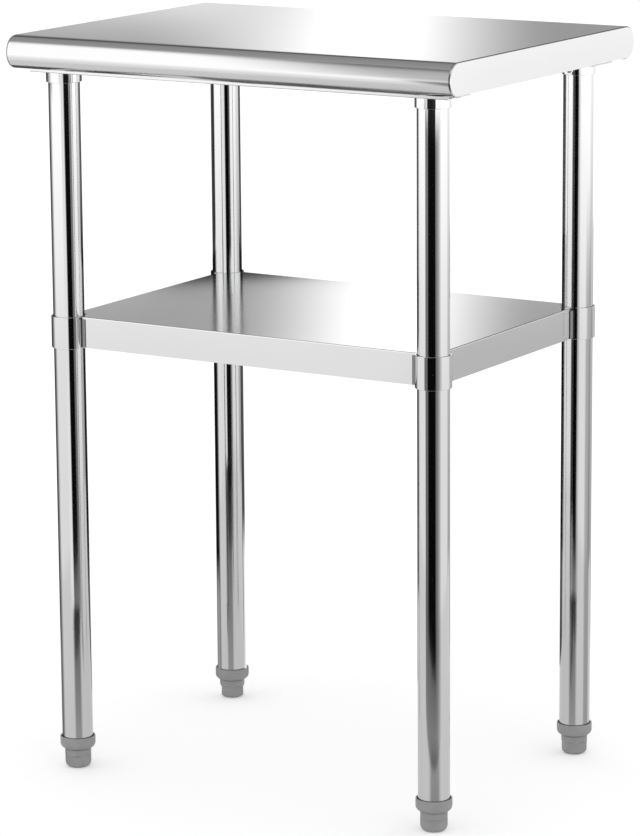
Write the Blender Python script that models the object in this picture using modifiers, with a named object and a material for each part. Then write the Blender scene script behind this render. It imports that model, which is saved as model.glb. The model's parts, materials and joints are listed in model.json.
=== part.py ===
"""Stainless work table with an undershelf and four levelling feet.

Units are metres. +X runs along the table, the front is at -Y and the floor is z = 0.
The origin is on the floor, under the centre of the worktop.
"""
from math import atan2, cos, degrees, pi, radians, remainder, sin, sqrt, tan

import bmesh
import bpy
from mathutils import Vector

# Worktop: one sheet, rolled under at the front and rear, folded down at the ends
TOP_LENGTH = 0.6096
TOP_DEPTH = 0.4572
TOP_HEIGHT = 0.9144
TOP_SHEET = 0.0012
EDGE_HEIGHT = 0.0400
EDGE_LIP = 0.0053
FOLD_RADIUS = 0.0020

# Rails: channels under the front and rear edges that carry the leg sockets
RAIL_SHEET = 0.0015
RAIL_WIDTH = 0.0520
RAIL_DROP = 0.0046
RAIL_OVERRUN = 0.0115
RAIL_END_GAP = 0.0156
RAIL_FACE_GAP = 0.0010

# Legs and the sockets they push into
TUBE_DIAMETER = 0.0381
TUBE_WALL = 0.0012
SOCKET_WALL = 0.00205
SOCKET_FIT = 0.0004

# Grub screws and the threaded bosses that hold them. The angles are level, in degrees
# from the table's length.
SCREW_DIAMETER = 0.006
SCREW_LENGTH = 0.008
SCREW_TIP = 0.0008
KEY_ACROSS = 0.003
KEY_DEPTH = 0.0035
SCREW_FIT = 0.0003
BOSS_WALL = 0.0015
BOSS_LENGTH = 0.0045
BOSS_MARGIN = 0.0013
SOCKET_SCREW_ANGLE = 90
COLLAR_SCREW_ANGLE = 45

# Undershelf: a pan with turned-down flanges, on a collar at each leg
SHELF_HEIGHT = 0.5720
SHELF_SHEET = 0.0012
SHELF_FLANGE = 0.0381
SHELF_OVERHANG = 0.0030
COLLAR_FIT = 0.0007
COLLAR_WALL = 0.00175
COLLAR_DROP = 0.0009
EAR_SHEET = 0.0016
EAR_LENGTH = 0.0050
EAR_FILLET = 0.0030
EAR_TOP_INSET = 0.0030
EAR_BOTTOM_INSET = 0.0006

# Hat channel under the undershelf
STIFFENER_SHEET = 0.0012
STIFFENER_CROWN = 0.050
STIFFENER_BRIM = 0.016
STIFFENER_DEPTH = 0.020
STIFFENER_END_GAP = 0.004

# Levelling feet: a plastic cup on the tube, a steel stud and a plastic barrel
BARREL_DIAMETER = 0.0325
BARREL_HEIGHT = 0.0242
BARREL_ROUNDING = 0.0050
HEX_ACROSS = 0.0286
HEX_HEIGHT = 0.0190
STEM_DIAMETER = 0.0120
STEM_CHAMFER = 0.0010
STEM_FIT = 0.0003
STEM_SOCKET_FLOOR = 0.0050
CUP_WALL = 0.0022
CUP_FIT = 0.0006
CUP_FLOOR = 0.0082
CUP_TAPER = 0.0065
CUP_SIDE = 0.0080
PLUG_FIT = 0.0003
PLUG_LENGTH = 0.0290
PLUG_CHAMFER = 0.0010

# How far each foot happens to be screwed round: the level angle of a corner of its
# hexagon, in degrees from the table's length
FOOT_TURNS = {
    "front_left": 26,
    "front_right": 30,
    "rear_left": 3,
    "rear_right": 11,
}

# Faces that touch are drawn this far apart, and cutters run this far past what they cut
SEAT_GAP = 0.0003
CUTTER_OVERRUN = 0.0050

# Facets of round pieces
ROUND_STEPS = 32
SMALL_STEPS = 16
EDGE_STEPS = 18
FILLET_STEPS = 3
ROUNDING_STEPS = 6
MERGE_DISTANCE = 0.00001

# A face whose corners leave its plane by more than this is split into triangles
FLATNESS = 0.0000002

# Edges that turn by more than this are sharp, and are the ones that a fold rounds
SHARP_ANGLE = radians(35)

# Sizes that follow from the ones above
edge_radius = EDGE_HEIGHT / 2
tube_radius = TUBE_DIAMETER / 2
socket_inner = tube_radius + SOCKET_FIT
socket_outer = socket_inner + SOCKET_WALL
collar_inner = tube_radius + COLLAR_FIT
collar_outer = collar_inner + COLLAR_WALL

rail_outer_y = TOP_DEPTH / 2 - edge_radius - EDGE_LIP - SEAT_GAP
leg_y = rail_outer_y - RAIL_SHEET - RAIL_FACE_GAP - socket_outer
rail_end_x = TOP_LENGTH / 2 - TOP_SHEET - RAIL_END_GAP
leg_x = rail_end_x - RAIL_OVERRUN - socket_outer

screw_radius = SCREW_DIAMETER / 2
boss_radius = screw_radius + SCREW_FIT + BOSS_WALL
rail_top = TOP_HEIGHT - TOP_SHEET - SEAT_GAP
rail_bottom = TOP_HEIGHT - EDGE_HEIGHT - RAIL_DROP
socket_top = rail_top - RAIL_SHEET - SEAT_GAP
socket_bottom = rail_bottom - 2 * (boss_radius + BOSS_MARGIN)
socket_screw_z = (socket_bottom + rail_bottom) / 2

cup_bottom = BARREL_HEIGHT + SEAT_GAP
cup_floor = cup_bottom + CUP_FLOOR
cup_rim = cup_bottom + CUP_TAPER + CUP_SIDE
leg_bottom = cup_floor + SEAT_GAP
plug_top = leg_bottom + PLUG_LENGTH

flange_x = leg_x + SHELF_OVERHANG
flange_y = leg_y + SHELF_OVERHANG
collar_height = SHELF_FLANGE + COLLAR_DROP

CORNERS = {
    "front_left": (-1, -1),
    "front_right": (1, -1),
    "rear_left": (-1, 1),
    "rear_right": (1, 1),
}


def clear_scene():
    for old in list(bpy.data.objects):
        bpy.data.objects.remove(old, do_unlink=True)


def new_collection(name):
    collection = bpy.data.collections.new(name)
    bpy.context.scene.collection.children.link(collection)
    return collection


def make_material(name, color, roughness, metallic):
    material = bpy.data.materials.new(name)
    material.use_nodes = True
    shader = material.node_tree.nodes["Principled BSDF"]
    shader.inputs["Base Color"].default_value = (*color, 1)
    shader.inputs["Roughness"].default_value = roughness
    shader.inputs["Metallic"].default_value = metallic
    return material


def add_object(name, mesh, material, location=(0, 0, 0), parent=None):
    """Put a piece into the table's collection, with its material."""
    thing = bpy.data.objects.new(name, mesh)
    table.objects.link(thing)
    thing.location = location
    thing.parent = parent
    if not mesh.materials:
        mesh.materials.append(material)
    return thing


def add_cutter(name, mesh, location=(0, 0, 0), parent=None):
    """Put a Boolean's second shape into the cutters' collection."""
    cutter = bpy.data.objects.new(name, mesh)
    cutters.objects.link(cutter)
    cutter.location = location
    cutter.parent = parent
    cutter.hide_render = True
    cutter.display_type = "WIRE"
    return cutter


def add_empty(name, location):
    empty = bpy.data.objects.new(name, None)
    table.objects.link(empty)
    empty.location = location
    return empty


def combine(thing, other, operation):
    """Cut another shape out of a piece, or join it on."""
    boolean = thing.modifiers.new(other.name, "BOOLEAN")
    boolean.operation = operation
    boolean.solver = "EXACT"
    boolean.object = other


def mesh_from(name, bm):
    mesh = bpy.data.meshes.new(name)
    bm.to_mesh(mesh)
    bm.free()
    mesh.shade_smooth()
    mesh.set_sharp_from_angle(angle=SHARP_ANGLE)
    return mesh


def baked_mesh(holder):
    """Turn a curve, or a profile with its modifier, into a welded mesh."""
    table.objects.link(holder)
    bpy.context.view_layer.update()
    evaluated = holder.evaluated_get(bpy.context.evaluated_depsgraph_get())
    rough = bpy.data.meshes.new_from_object(evaluated)
    bm = bmesh.new()
    bm.from_mesh(rough)
    bmesh.ops.remove_doubles(bm, verts=bm.verts, dist=MERGE_DISTANCE)
    bmesh.ops.recalc_face_normals(bm, faces=bm.faces)
    name = holder.name
    bpy.data.objects.remove(holder)
    bpy.data.meshes.remove(rough)
    return mesh_from(name, bm)


def flattened_mesh(mesh):
    """Bring the corners of each end panel into one plane, and split what that bends."""
    bm = bmesh.new()
    bm.from_mesh(mesh)
    for panel in [face for face in bm.faces if len(face.verts) > 4]:
        level = sum(corner.co.x for corner in panel.verts) / len(panel.verts)
        for corner in panel.verts:
            corner.co.x = level
    bm.normal_update()
    bent = []
    for face in bm.faces:
        center = face.calc_center_median()
        if max(abs((corner.co - center).dot(face.normal)) for corner in face.verts) > FLATNESS:
            bent.append(face)
    bmesh.ops.triangulate(bm, faces=bent)
    name = mesh.name
    bpy.data.meshes.remove(mesh)
    return mesh_from(name, bm)


def turned_mesh(name, profile, steps, closed=False):
    """Turn a profile of (radius, height) points about Z.

    A closed profile makes a ring. An open one starts and ends on the axis.
    """
    bm = bmesh.new()
    points = [bm.verts.new((radius, 0, height)) for radius, height in profile]
    for first, second in zip(points, points[1:]):
        bm.edges.new((first, second))
    if closed:
        bm.edges.new((points[-1], points[0]))
    holder = bpy.data.objects.new(name, mesh_from(f"{name}_profile", bm))
    screw = holder.modifiers.new("turning", "SCREW")
    screw.axis = "Z"
    screw.steps = steps
    screw.render_steps = steps
    screw.use_merge_vertices = True
    screw.merge_threshold = MERGE_DISTANCE
    return baked_mesh(holder)


def outline_mesh(name, loops, height):
    """A flat plate with the given loops as its outline and holes, centred on z = 0."""
    curve = bpy.data.curves.new(name, "CURVE")
    curve.dimensions = "2D"
    curve.fill_mode = "BOTH"
    curve.extrude = height / 2
    for loop in loops:
        spline = curve.splines.new("POLY")
        spline.points.add(len(loop) - 1)
        for point, (x, y) in zip(spline.points, loop):
            point.co = (x, y, 0, 1)
        spline.use_cyclic_u = True
    return baked_mesh(bpy.data.objects.new(name, curve))


def cylinder_mesh(name, radius, length, steps):
    """A closed cylinder along Z, about the origin."""
    bm = bmesh.new()
    bmesh.ops.create_cone(
        bm, cap_ends=True, segments=steps, radius1=radius, radius2=radius, depth=length
    )
    return mesh_from(name, bm)


def folded_mesh(name, path, length, ends=False):
    """Sweep a (y, z) path along X into an open sheet, with optional end panels.

    The sheet's outer side lies on the right of the path, seen from +X.
    """
    bm = bmesh.new()
    left = [bm.verts.new((-length / 2, y, z)) for y, z in path]
    right = [bm.verts.new((length / 2, y, z)) for y, z in path]
    for index in range(len(path) - 1):
        bm.faces.new((left[index], right[index], right[index + 1], left[index + 1]))
    if ends:
        bm.faces.new(left)
        bm.faces.new(list(reversed(right)))
    return mesh_from(name, bm)


def thicken(thing, thickness):
    """Give an open sheet its thickness, on its inner side."""
    solidify = thing.modifiers.new("sheet", "SOLIDIFY")
    solidify.thickness = thickness
    solidify.offset = -1
    solidify.use_even_offset = True


def round_folds(thing, radius):
    bevel = thing.modifiers.new("folds", "BEVEL")
    bevel.width = radius
    bevel.segments = FILLET_STEPS
    bevel.limit_method = "ANGLE"
    bevel.angle_limit = SHARP_ANGLE
    bevel.use_clamp_overlap = False


def arc(center_a, center_b, radius, start, end, steps):
    """Points of an arc in a plane, from one angle to another, in degrees."""
    points = []
    for step in range(steps + 1):
        angle = radians(start + (end - start) * step / steps)
        points.append((center_a + radius * cos(angle), center_b + radius * sin(angle)))
    return points


def circle(radius, steps, turn=0):
    """Points of a circle or a regular polygon, its first corner at an angle in degrees."""
    return arc(0, 0, radius, turn, turn + 360, steps)[:-1]


def rounded_path(corners, radius):
    """An open path whose inner corners are replaced by arcs of one radius."""
    path = [corners[0]]
    for before, corner, after in zip(corners, corners[1:], corners[2:]):
        corner = Vector(corner)
        back = (Vector(before) - corner).normalized()
        ahead = (Vector(after) - corner).normalized()
        half_angle = back.angle(ahead) / 2
        center = corner + (back + ahead).normalized() * (radius / sin(half_angle))
        reach = radius / tan(half_angle)
        first = corner + back * reach - center
        last = corner + ahead * reach - center
        start = degrees(atan2(first.y, first.x))
        turn = remainder(degrees(atan2(last.y, last.x)) - start, 360)
        path += arc(center.x, center.y, radius, start, start + turn, FILLET_STEPS)
    path.append(corners[-1])
    return path


def add_top_sheet():
    """The rolled edges are half circles that end in a short lip against the rails."""
    roll_y = TOP_DEPTH / 2 - edge_radius
    roll_z = TOP_HEIGHT - edge_radius
    lip_y = rail_outer_y + SEAT_GAP
    path = [
        (-lip_y, TOP_HEIGHT - EDGE_HEIGHT),
        *arc(-roll_y, roll_z, edge_radius, 270, 90, EDGE_STEPS),
        *arc(roll_y, roll_z, edge_radius, 90, -90, EDGE_STEPS),
        (lip_y, TOP_HEIGHT - EDGE_HEIGHT),
    ]
    mesh = folded_mesh("top_sheet", path, TOP_LENGTH, ends=True)
    sheet = bpy.data.objects.new("top_sheet", mesh)
    round_folds(sheet, FOLD_RADIUS)
    thicken(sheet, TOP_SHEET)
    add_object("top_sheet", flattened_mesh(baked_mesh(sheet)), polished)


def add_rail(name, y_side):
    """A channel that opens towards the table's middle, with a hole for each socket."""
    inner_y = rail_outer_y - RAIL_WIDTH
    corners = [
        (y_side * inner_y, rail_top),
        (y_side * rail_outer_y, rail_top),
        (y_side * rail_outer_y, rail_bottom),
        (y_side * inner_y, rail_bottom),
    ]
    if y_side < 0:
        corners.reverse()
    path = rounded_path(corners, FOLD_RADIUS)
    rail = add_object(name, folded_mesh(name, path, 2 * rail_end_x), satin)
    thicken(rail, RAIL_SHEET)
    for x_side in (-1, 1):
        location = (x_side * leg_x, y_side * leg_y, rail_bottom)
        length = 2 * (RAIL_SHEET + CUTTER_OVERRUN)
        hole = cylinder_mesh("socket_hole", socket_outer + SEAT_GAP, length, ROUND_STEPS)
        combine(rail, add_cutter(f"{name}_hole", hole, location), "DIFFERENCE")


def inward(x_side, y_side, angle):
    """A level direction from a leg towards the table's middle, its angle from X."""
    return Vector((-x_side * cos(radians(angle)), -y_side * sin(radians(angle)), 0))


def add_screw_boss(thing, inner, outer, height, direction):
    """Join a boss to a ring's side, and run the screw's hole through both.

    The boss's root ends inside the ring's wall.
    """
    tip = outer + BOSS_LENGTH
    root = (inner + sqrt(outer**2 - boss_radius**2)) / 2
    hole_radius = screw_radius + SCREW_FIT
    hole_start = inner - CUTTER_OVERRUN
    hole_end = tip + CUTTER_OVERRUN
    for label, radius, start, end, operation in (
        ("boss", boss_radius, root, tip, "UNION"),
        ("hole", hole_radius, hole_start, hole_end, "DIFFERENCE"),
    ):
        name = f"{thing.name}_{label}"
        shape = cylinder_mesh(name, radius, end - start, SMALL_STEPS)
        location = thing.location + Vector((0, 0, height)) + direction * (start + end) / 2
        cutter = add_cutter(name, shape, location, thing.parent)
        cutter.rotation_euler = direction.to_track_quat("Z", "Y").to_euler()
        combine(thing, cutter, operation)


def add_screw(name, leg_point, direction, parent=None):
    """A grub screw: its tip meets the tube and its key socket faces inwards."""
    profile = [
        (0, SCREW_LENGTH),
        (screw_radius, SCREW_LENGTH),
        (screw_radius, SCREW_TIP),
        (screw_radius - SCREW_TIP, 0),
        (0, 0),
    ]
    mesh = turned_mesh("grub_screw", profile, SMALL_STEPS)
    tip = Vector(leg_point) + direction * (tube_radius + SEAT_GAP)
    screw = add_object(name, mesh, dark_steel, tip, parent)
    screw.rotation_euler = direction.to_track_quat("Z", "Y").to_euler()
    key = outline_mesh("key", [circle(KEY_ACROSS / sqrt(3), 6)], 2 * KEY_DEPTH)
    cutter = add_cutter(f"{name}_key", key, (0, 0, SCREW_LENGTH), screw)
    combine(screw, cutter, "DIFFERENCE")


def ring_profile(inner, outer, bottom, top):
    return [(outer, top), (outer, bottom), (inner, bottom), (inner, top)]


def add_leg(corner, x_side, y_side):
    """A tube, the socket over its upper end and the screw that locks them."""
    location = (x_side * leg_x, y_side * leg_y, 0)
    tube = ring_profile(tube_radius - TUBE_WALL, tube_radius, leg_bottom, socket_top)
    mesh = turned_mesh("leg", tube, ROUND_STEPS, closed=True)
    add_object(f"leg_{corner}", mesh, polished, location)

    ring = ring_profile(socket_inner, socket_outer, socket_bottom, socket_top)
    mesh = turned_mesh("leg_socket", ring, ROUND_STEPS, closed=True)
    socket = add_object(f"leg_socket_{corner}", mesh, polished, location)
    direction = inward(x_side, y_side, SOCKET_SCREW_ANGLE)
    add_screw_boss(socket, socket_inner, socket_outer, socket_screw_z, direction)
    screw_point = (x_side * leg_x, y_side * leg_y, socket_screw_z)
    add_screw(f"socket_screw_{corner}", screw_point, direction)


def add_shelf_sheet(shelf):
    """A pan with a flange on each side, cut round the collars at its corners."""
    bm = bmesh.new()
    bmesh.ops.create_cube(bm, size=1)
    bmesh.ops.scale(bm, verts=bm.verts, vec=(2 * flange_x, 2 * flange_y, SHELF_FLANGE))
    bmesh.ops.translate(bm, verts=bm.verts, vec=(0, 0, -SHELF_FLANGE / 2))
    open_side = [face for face in bm.faces if face.normal.z < -0.5]
    bmesh.ops.delete(bm, geom=open_side, context="FACES")
    sheet = add_object("shelf_sheet", mesh_from("shelf_sheet", bm), polished, parent=shelf)
    round_folds(sheet, FOLD_RADIUS)
    thicken(sheet, SHELF_SHEET)
    for corner, (x_side, y_side) in CORNERS.items():
        length = 2 * (SHELF_FLANGE + CUTTER_OVERRUN)
        notch = cylinder_mesh("notch", collar_outer + SEAT_GAP, length, ROUND_STEPS)
        location = (x_side * leg_x, y_side * leg_y, 0)
        cutter = add_cutter(f"shelf_notch_{corner}", notch, location, shelf)
        combine(sheet, cutter, "DIFFERENCE")


def ear_outline():
    """An ear beside the leg, on the outside of a flange that faces +Y.

    The ear starts inside the collar's wall, runs along the flange towards -X, and its
    back runs into the collar through a fillet.
    """
    wall_middle = (collar_inner + collar_outer) / 2
    face = SHELF_OVERHANG + SEAT_GAP
    back = face + EAR_SHEET
    end = collar_outer + EAR_LENGTH
    fillet_y = back + EAR_FILLET
    fillet_x = sqrt((collar_outer + EAR_FILLET) ** 2 - fillet_y**2)
    touch = degrees(atan2(-fillet_y, fillet_x))
    root = Vector((-fillet_x, fillet_y)).normalized() * wall_middle
    return [
        (-sqrt(wall_middle**2 - face**2), face),
        (-end, face),
        (-end, back),
        *arc(-fillet_x, fillet_y, EAR_FILLET, -90, touch, FILLET_STEPS),
        tuple(root),
    ]


def add_collar(shelf, corner, x_side, y_side):
    """A ring round the leg, with an ear on each flange and a screw that locks it."""
    location = (x_side * leg_x, y_side * leg_y, 0)
    ring = ring_profile(collar_inner, collar_outer, -collar_height, 0)
    mesh = turned_mesh("shelf_collar", ring, ROUND_STEPS, closed=True)
    name = f"shelf_collar_{corner}"
    collar = add_object(name, mesh, polished, location, shelf)

    ear_height = SHELF_FLANGE - EAR_TOP_INSET - EAR_BOTTOM_INSET
    ear_z = -EAR_TOP_INSET - ear_height / 2
    along_x = [(x_side * a, y_side * b) for a, b in ear_outline()]
    along_y = [(x_side * b, y_side * a) for a, b in ear_outline()]
    for label, outline in (("along_x", along_x), ("along_y", along_y)):
        mesh = outline_mesh(f"ear_{label}", [outline], ear_height)
        ear_location = (x_side * leg_x, y_side * leg_y, ear_z)
        ear = add_cutter(f"{name}_ear_{label}", mesh, ear_location, shelf)
        combine(collar, ear, "UNION")

    screw_z = -collar_height / 2
    direction = inward(x_side, y_side, COLLAR_SCREW_ANGLE)
    add_screw_boss(collar, collar_inner, collar_outer, screw_z, direction)
    screw_point = (x_side * leg_x, y_side * leg_y, screw_z)
    add_screw(f"shelf_screw_{corner}", screw_point, direction, shelf)


def add_stiffener(shelf):
    """A hat channel along the middle of the shelf's underside."""
    top = -SHELF_SHEET - SEAT_GAP
    bottom = top - STIFFENER_DEPTH
    crown = STIFFENER_CROWN / 2
    brim = crown + STIFFENER_BRIM
    corners = [
        (-brim, top),
        (-crown, top),
        (-crown, bottom),
        (crown, bottom),
        (crown, top),
        (brim, top),
    ]
    path = rounded_path(corners, FOLD_RADIUS)
    length = 2 * (flange_x - SHELF_SHEET - STIFFENER_END_GAP)
    mesh = folded_mesh("shelf_stiffener", path, length)
    thicken(add_object("shelf_stiffener", mesh, satin, parent=shelf), STIFFENER_SHEET)


def insert_profile():
    """The cup round the tube's end, and the plug inside the tube."""
    bore = STEM_DIAMETER / 2 + STEM_FIT
    plug = tube_radius - TUBE_WALL - PLUG_FIT
    cup_inner = tube_radius + CUP_FIT
    cup_outer = cup_inner + CUP_WALL
    taper_top = cup_bottom + CUP_TAPER
    taper_foot = cup_outer - CUP_TAPER
    return [
        (bore, plug_top),
        (plug - PLUG_CHAMFER, plug_top),
        (plug, plug_top - PLUG_CHAMFER),
        (plug, cup_floor),
        (cup_inner, cup_floor),
        *arc((cup_inner + cup_outer) / 2, cup_rim, CUP_WALL / 2, 180, 0, FILLET_STEPS),
        *arc(taper_foot, taper_top, CUP_TAPER, 0, -90, FILLET_STEPS),
        (bore, cup_bottom),
    ]


def stem_profile():
    radius = STEM_DIAMETER / 2
    bottom = STEM_SOCKET_FLOOR + SEAT_GAP
    return [
        (0, plug_top),
        (radius - STEM_CHAMFER, plug_top),
        (radius, plug_top - STEM_CHAMFER),
        (radius, bottom),
        (0, bottom),
    ]


def barrel_profile():
    """The outside down to the rounded foot, and the blind hole that holds the stem."""
    bore = STEM_DIAMETER / 2 + STEM_FIT
    outside = BARREL_DIAMETER / 2
    foot = outside - BARREL_ROUNDING
    return [
        (0, STEM_SOCKET_FLOOR),
        (bore, STEM_SOCKET_FLOOR),
        (bore, BARREL_HEIGHT),
        (outside, BARREL_HEIGHT),
        *arc(foot, BARREL_ROUNDING, BARREL_ROUNDING, 0, -90, ROUNDING_STEPS),
        (0, 0),
    ]


def add_foot(corner, x_side, y_side):
    """An insert in the tube, and a stem and barrel that screw in and out of it."""
    location = (x_side * leg_x, y_side * leg_y, 0)
    insert = turned_mesh("foot_insert", insert_profile(), ROUND_STEPS, closed=True)
    add_object(f"foot_insert_{corner}", insert, gray_plastic, location)

    screw_axis = add_empty(f"foot_{corner}", location)
    stem = turned_mesh("foot_stem", stem_profile(), SMALL_STEPS)
    add_object(f"foot_stem_{corner}", stem, dark_steel, parent=screw_axis)
    mesh = turned_mesh("foot_barrel", barrel_profile(), ROUND_STEPS)
    barrel = add_object(f"foot_barrel_{corner}", mesh, gray_plastic, parent=screw_axis)
    hexagon = circle(HEX_ACROSS / sqrt(3), 6, FOOT_TURNS[corner])
    ring = outline_mesh("flats", [circle(BARREL_DIAMETER, ROUND_STEPS), hexagon], 2 * HEX_HEIGHT)
    combine(barrel, add_cutter(f"foot_flats_{corner}", ring, parent=screw_axis), "DIFFERENCE")


clear_scene()
table = new_collection("stainless_work_table")
cutters = new_collection("cutters")

polished = make_material("polished_steel", (0.78, 0.78, 0.79), 0.12, 1)
satin = make_material("satin_steel", (0.70, 0.70, 0.71), 0.30, 1)
dark_steel = make_material("dark_steel", (0.35, 0.35, 0.36), 0.35, 1)
gray_plastic = make_material("gray_plastic", (0.30, 0.30, 0.30), 0.45, 0)

add_top_sheet()
add_rail("front_rail", -1)
add_rail("rear_rail", 1)

shelf_carriage = add_empty("shelf_carriage", (0, 0, SHELF_HEIGHT))
add_shelf_sheet(shelf_carriage)
add_stiffener(shelf_carriage)

for corner_name, sides in CORNERS.items():
    add_leg(corner_name, *sides)
    add_foot(corner_name, *sides)
    add_collar(shelf_carriage, corner_name, *sides)
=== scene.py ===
"""Looks of a stainless work table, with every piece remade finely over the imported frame.

Units are metres, in the frame's own axes: +X runs along the table, the front is at -Y.
"""
import json
from math import atan2, cos, degrees, pi, radians, remainder, sin, sqrt, tan

import bmesh
import bpy
from mathutils import Matrix, Vector

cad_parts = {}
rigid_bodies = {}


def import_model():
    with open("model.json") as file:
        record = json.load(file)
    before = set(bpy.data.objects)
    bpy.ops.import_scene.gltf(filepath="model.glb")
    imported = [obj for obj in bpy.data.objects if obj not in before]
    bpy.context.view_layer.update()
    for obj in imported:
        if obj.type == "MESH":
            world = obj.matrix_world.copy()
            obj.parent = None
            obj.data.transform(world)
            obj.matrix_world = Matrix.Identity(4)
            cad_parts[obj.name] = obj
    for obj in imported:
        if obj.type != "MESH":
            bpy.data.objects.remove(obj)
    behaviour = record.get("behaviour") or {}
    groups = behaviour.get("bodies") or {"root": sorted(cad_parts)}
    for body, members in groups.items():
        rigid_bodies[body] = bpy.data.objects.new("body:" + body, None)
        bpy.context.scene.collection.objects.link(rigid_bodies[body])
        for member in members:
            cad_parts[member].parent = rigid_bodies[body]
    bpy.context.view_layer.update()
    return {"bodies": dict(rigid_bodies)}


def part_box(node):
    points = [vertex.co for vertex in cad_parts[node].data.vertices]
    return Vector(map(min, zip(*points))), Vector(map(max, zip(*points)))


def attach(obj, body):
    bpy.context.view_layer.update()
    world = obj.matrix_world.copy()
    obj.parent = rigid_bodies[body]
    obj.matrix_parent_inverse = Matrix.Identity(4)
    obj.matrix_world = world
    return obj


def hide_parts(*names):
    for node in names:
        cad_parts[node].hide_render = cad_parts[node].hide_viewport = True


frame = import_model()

CORNERS = {
    "front_left": (-1, -1),
    "front_right": (1, -1),
    "rear_left": (-1, 1),
    "rear_right": (1, 1),
}

# Sizes of sheets and tubes that the boxes of the nodes don't give
SHEET = 0.0012
RAIL_SHEET = 0.0015
FOLD = 0.0016
SHELF_FOLD = 0.0014
CHANNEL_FOLD = 0.0014
TUBE_WALL = 0.0012
SOCKET_FIT = 0.0004
COLLAR_FIT = 0.0007
RIM = 0.0004
GAP = 0.0003

# The worktop's rolls, where the flat starts to fall before them, and the seam at their ends
EDGE_HEIGHT = 0.0400
EDGE_EASE = 0.004
EASE_RADIUS = 0.080
SEAM_WIDTH = 0.0010
SEAM_DEPTH = 0.0008
SEAM_INNER_WALL = 0.0001
SEAM_OUTER_WALL = 0.0002

# Grub screws and their bosses, with the screws' angles from X in degrees
SCREW_RADIUS = 0.0030
SCREW_LENGTH = 0.0080
SCREW_TIP = 0.0008
KEY_ACROSS = 0.0030
KEY_DEPTH = 0.0035
BOSS_RADIUS = 0.0048
BOSS_HOLE = 0.0033
BOSS_LENGTH = 0.0045
BOSS_LIFT = 0.0061
SOCKET_SCREW_ANGLE = 90
COLLAR_SCREW_ANGLE = 45

# Collar ears
EAR_SHEET = 0.0004
EAR_LENGTH = 0.0048
EAR_FILLET = 0.0050
EAR_TOP_INSET = 0.0030
EAR_BOTTOM_INSET = 0.0015
EAR_FACE = 0.0033
EAR_MARGIN = 0.0001

# Hat channel
STIFFENER_SHEET = 0.0012
STIFFENER_BRIM = 0.016

# Feet. The turns of the barrels' flats are in degrees, and the power rounds the thread.
CUP_WALL = 0.0022
CUP_TAPER = 0.0065
CUP_FLOOR = 0.0082
CUP_RIM = 0.0401
PLUG_GAP = 0.0003
PLUG_CHAMFER = 0.0010
BARREL_ROUNDING = 0.0070
BARREL_TOP_ROUNDING = 0.0008
HEX_ACROSS = 0.0286
HEX_HEIGHT = 0.0150
HEX_FLARE = 0.0040
FOOT_TURNS = {
    "front_left": 26,
    "front_right": 30,
    "rear_left": 3,
    "rear_right": 11,
}
BORE_RADIUS = 0.0063
THREAD_PITCH = 0.00175
THREAD_DEPTH = 0.0009
THREAD_CREST = 0.00595
THREAD_POWER = 0.8

# Facets of round pieces
ROUND_STEPS = 96
ROLL_STEPS = 48
FOLD_STEPS = 6
EASE_STEPS = 8
RIM_STEPS = 3
CUP_RIM_STEPS = 8
CUP_STEPS = 12
BARREL_TOP_STEPS = 4
BARREL_STEPS = 14
SMALL_STEPS = 32
THREAD_STEPS = 24
THREAD_RINGS = 6
SHARP_ANGLE = radians(32)
FLAT_WEIGHT = 100

# How far a cutter reaches past what it cuts
CUT_REACH = 0.005

# Finishes. The grain's scales are in waves to the metre along X, Y and Z, and an unevenness
# is a share of the tone.
STEEL_TONE = (0.62, 0.62, 0.625)
SCREW_TONE = (0.30, 0.30, 0.31)
# The weld tone is a dull weld finish and also painted shade, darkening the collars' ears by the
# flanges
WELD_AND_SHADE_TONE = (0.22, 0.22, 0.225)
STEEL_UNEVENNESS = 0.03
STEEL_CLOUDS = (6, 6, 6)
LINE_STRENGTH = 0.25
LINE_DEPTH = 0.00001
PLASTIC_TONE = (0.31, 0.31, 0.31)
PLASTIC_UNEVENNESS = 0.12
PLASTIC_ROUGHNESS = (0.42, 0.56)
PLASTIC_CLOUDS = (120, 120, 120)
PLASTIC_GRAIN = (1800, 1800, 1800)
GRAIN_STRENGTH = 0.4
GRAIN_DEPTH = 0.00004

# Camera, its angles in degrees and its lens in millimetres
CAMERA_PLACE = (2.371, -3.912, 1.417)
CAMERA_YAW = 31.296
CAMERA_PITCH = 12.093
CAMERA_ROLL = -0.418
CAMERA_LENS = 163.73
CAMERA_SENSOR = 36

# Floor
FLOOR_RADIUS = 40
FLOOR_STEPS = 64
FLOOR_TONE = (0.80, 0.80, 0.80, 1)
FLOOR_ROUGHNESS = 0.9
FLOOR_GLOW = {"Is Camera Ray": 0.30, "Is Glossy Ray": 0.13, "Is Transmission Ray": 0.30}

# Studio cards. The back stands square to what the undershelf reflects to the camera.
ARC_STEPS = 48
WALL_RADIUS = 1.30
WALL_SHADE_RADIUS = 1.28
FOOT_SHADE_RADIUS = 0.09
SHADE_FIT = 1.03
BACK_REACH = 6.4
BACK_ANGLE = 120.4
BACK_STEP = 0.02
CEILING_HEIGHT = 2.7
BLACK = (0, 0)
FULL = (1, 1)
NO_FADES = (0, 0, 0, 0)


# ---------------------------------------------------------------- mesh helpers

def mesh_of(name, bm):
    """A mesh with a bmesh's faces as they are."""
    mesh = bpy.data.meshes.new(name)
    bm.to_mesh(mesh)
    bm.free()
    return mesh


def solid_mesh(name, bm):
    """A mesh with its faces pointing out and its sharp edges marked."""
    bmesh.ops.recalc_face_normals(bm, faces=bm.faces)
    mesh = mesh_of(name, bm)
    mesh.shade_smooth()
    mesh.set_sharp_from_angle(angle=SHARP_ANGLE)
    return mesh


def new_object(name, data):
    """Put a mesh or a camera in the scene."""
    thing = bpy.data.objects.new(name, data)
    bpy.context.scene.collection.objects.link(thing)
    return thing


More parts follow.
